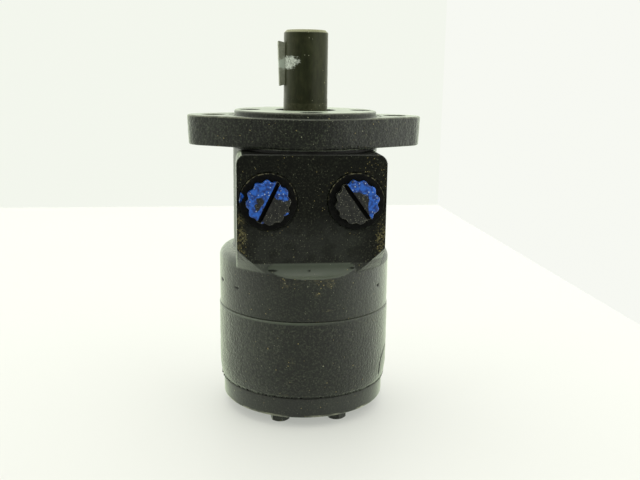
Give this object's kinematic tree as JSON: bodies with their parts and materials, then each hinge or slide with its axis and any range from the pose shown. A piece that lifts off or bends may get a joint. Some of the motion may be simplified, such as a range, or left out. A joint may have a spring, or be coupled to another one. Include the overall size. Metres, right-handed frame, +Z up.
{
  "type": "hydraulic motor",
  "caption": "Orbital hydraulic motor: pilot flange, keyed straight shaft, spool-valve housing with plugged side ports, and a roller gear set behind a screwed end cap.",
  "frame": {"origin": "on the shaft axis, in the flange's mounting face, which is also the centre of the two mounting bolts", "axes": "+Z up the output shaft; -Y out of the face with the two ports; +X to the right when facing the ports, through a flange bolt hole"},
  "size_m": [0.1366, 0.102, 0.2217],
  "materials": {
    "black_paint": "satin black enamel over cast iron and steel, rough where the casting shows",
    "shaft_steel": "dark olive-grey oxidised ground steel",
    "key_steel": "bare grey-brown steel",
    "screw_steel": "black oxide",
    "plain_steel": "ground hardened steel",
    "seal_rubber": "matt black rubber",
    "plug_plastic": "blue moulded plastic, partly oversprayed black"
  },
  "bodies": {
    "housing_assembly": {"mounting_flange": "black_paint", "flange_cap_screws": "screw_steel", "dust_seal": "seal_rubber", "backup_washer": "plain_steel", "shaft_seal": "seal_rubber", "flange_seal_ring": "seal_rubber", "thrust_race_upper": "plain_steel", "housing": "black_paint", "check_valve_plugs": "plain_steel", "body_seal_upper": "seal_rubber", "spacer_plate": "black_paint", "body_seal_middle": "seal_rubber", "geroler_ring": "black_paint", "body_seal_lower": "seal_rubber", "end_cap": "black_paint", "end_cap_screws": "black_paint"},
    "shaft": {"output_shaft": "shaft_steel", "thrust_race_lower": "plain_steel"},
    "key": {"woodruff_key": "key_steel"},
    "thrust_bearing": {"thrust_cage": "plain_steel", "thrust_needles": "plain_steel"},
    "orbit_centre": {"drive_spacer": "plain_steel"},
    "star": {"geroler_star": "plain_steel"},
    "drive": {"cardan_drive": "plain_steel"},
    "left_plug": {"port_plug_left": "plug_plastic", "plug_seal_left": "seal_rubber"},
    "right_plug": {"port_plug_right": "plug_plastic", "plug_seal_right": "seal_rubber"},
    "left_check_ball": {"check_ball_left": "plain_steel"},
    "right_check_ball": {"check_ball_right": "plain_steel"},
    "roller_1": {"geroler_roller_1": "plain_steel"},
    "roller_2": {"geroler_roller_2": "plain_steel"},
    "roller_3": {"geroler_roller_3": "plain_steel"},
    "roller_4": {"geroler_roller_4": "plain_steel"},
    "roller_5": {"geroler_roller_5": "plain_steel"},
    "roller_6": {"geroler_roller_6": "plain_steel"},
    "roller_7": {"geroler_roller_7": "plain_steel"}
  },
  "joints": [
    {"name": "shaft_spin", "type": "hinge", "parent": "housing_assembly", "child": "shaft", "pos_m": [0, 0, 0], "axis": [0, 0, 1], "continuous": true},
    {"name": "key_rock", "type": "hinge", "parent": "shaft", "child": "key", "pos_m": [-0.01744, 0, 0.029], "axis": [0, 1, 0], "range_deg": [-2, 6]},
    {"name": "thrust_bearing_spin", "type": "hinge", "parent": "housing_assembly", "child": "thrust_bearing", "pos_m": [0, 0, -0.0135], "axis": [0, 0, 1], "continuous": true},
    {"name": "star_orbit", "type": "hinge", "parent": "housing_assembly", "child": "orbit_centre", "pos_m": [0, 0, -0.137], "axis": [0, 0, 1], "continuous": true},
    {"name": "star_spin", "type": "hinge", "parent": "orbit_centre", "child": "star", "pos_m": [0, -0.003, -0.137], "axis": [0, 0, 1], "continuous": true},
    {"name": "drive_spin", "type": "hinge", "parent": "orbit_centre", "child": "drive", "pos_m": [0, -0.003, -0.137], "axis": [0, 0.0441, 0.999], "continuous": true},
    {"name": "roller_1_spin", "type": "hinge", "parent": "housing_assembly", "child": "roller_1", "pos_m": [0, -0.0286, -0.1366], "axis": [0, 0, 1], "continuous": true},
    {"name": "roller_2_spin", "type": "hinge", "parent": "housing_assembly", "child": "roller_2", "pos_m": [0.02236, -0.01783, -0.1366], "axis": [0, 0, 1], "continuous": true},
    {"name": "roller_3_spin", "type": "hinge", "parent": "housing_assembly", "child": "roller_3", "pos_m": [0.02788, 0.00636, -0.1366], "axis": [0, 0, 1], "continuous": true},
    {"name": "roller_4_spin", "type": "hinge", "parent": "housing_assembly", "child": "roller_4", "pos_m": [0.01241, 0.02577, -0.1366], "axis": [0, 0, 1], "continuous": true},
    {"name": "roller_5_spin", "type": "hinge", "parent": "housing_assembly", "child": "roller_5", "pos_m": [-0.01241, 0.02577, -0.1366], "axis": [0, 0, 1], "continuous": true},
    {"name": "roller_6_spin", "type": "hinge", "parent": "housing_assembly", "child": "roller_6", "pos_m": [-0.02788, 0.00636, -0.1366], "axis": [0, 0, 1], "continuous": true},
    {"name": "roller_7_spin", "type": "hinge", "parent": "housing_assembly", "child": "roller_7", "pos_m": [-0.02236, -0.01783, -0.1366], "axis": [0, 0, 1], "continuous": true},
    {"name": "left_plug_unscrew", "type": "slide", "parent": "housing_assembly", "child": "left_plug", "axis": [0, -1, 0], "range_m": [0, 0.016]},
    {"name": "right_plug_unscrew", "type": "slide", "parent": "housing_assembly", "child": "right_plug", "axis": [0, -1, 0], "range_m": [0, 0.016]},
    {"name": "left_check_lift", "type": "slide", "parent": "housing_assembly", "child": "left_check_ball", "axis": [0, 0, 1], "range_m": [0, 0.00098]},
    {"name": "right_check_lift", "type": "slide", "parent": "housing_assembly", "child": "right_check_ball", "axis": [0, 0, 1], "range_m": [0, 0.00098]}
  ],
  "couplings": [
    {"joint": "star_orbit", "follows": "shaft_spin", "ratio": -6},
    {"joint": "star_spin", "follows": "shaft_spin", "ratio": 7},
    {"joint": "drive_spin", "follows": "shaft_spin", "ratio": 7},
    {"joint": "thrust_bearing_spin", "follows": "shaft_spin", "ratio": 0.5},
    {"joint": "roller_1_spin", "follows": "shaft_spin", "ratio": -4.43},
    {"joint": "roller_2_spin", "follows": "shaft_spin", "ratio": -4.43},
    {"joint": "roller_3_spin", "follows": "shaft_spin", "ratio": -4.43},
    {"joint": "roller_4_spin", "follows": "shaft_spin", "ratio": -4.43},
    {"joint": "roller_5_spin", "follows": "shaft_spin", "ratio": -4.43},
    {"joint": "roller_6_spin", "follows": "shaft_spin", "ratio": -4.43},
    {"joint": "roller_7_spin", "follows": "shaft_spin", "ratio": -4.43}
  ]
}
